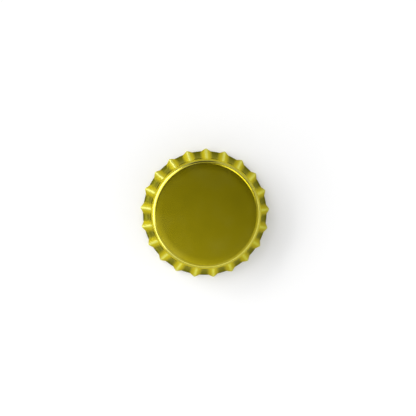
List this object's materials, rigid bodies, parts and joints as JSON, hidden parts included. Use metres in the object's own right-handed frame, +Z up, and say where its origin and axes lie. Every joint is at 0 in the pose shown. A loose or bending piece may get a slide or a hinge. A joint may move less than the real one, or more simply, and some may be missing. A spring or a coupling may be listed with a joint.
{
  "type": "bottle cap",
  "caption": "Uncrimped crown cap: a flat round top, a rounded shoulder and a flared, fluted skirt, with a sealing liner inside.",
  "frame": {"origin": "centre of the circle through the tooth tips, in the plane of the skirt's cut edge, on which the cap rests", "axes": "+Z up along the cap's axis to its flat top; +Y through the tip of one tooth; the cap is the same on both sides of the YZ plane"},
  "size_m": [0.032, 0.0319, 0.006],
  "materials": {
    "gold_lacquer": "glossy yellow gold lacquer over tinplate",
    "liner_compound": "smooth moulded polymer, milky"
  },
  "bodies": {
    "root": {"crown_shell": "gold_lacquer", "sealing_liner": "liner_compound"}
  },
  "joints": []
}
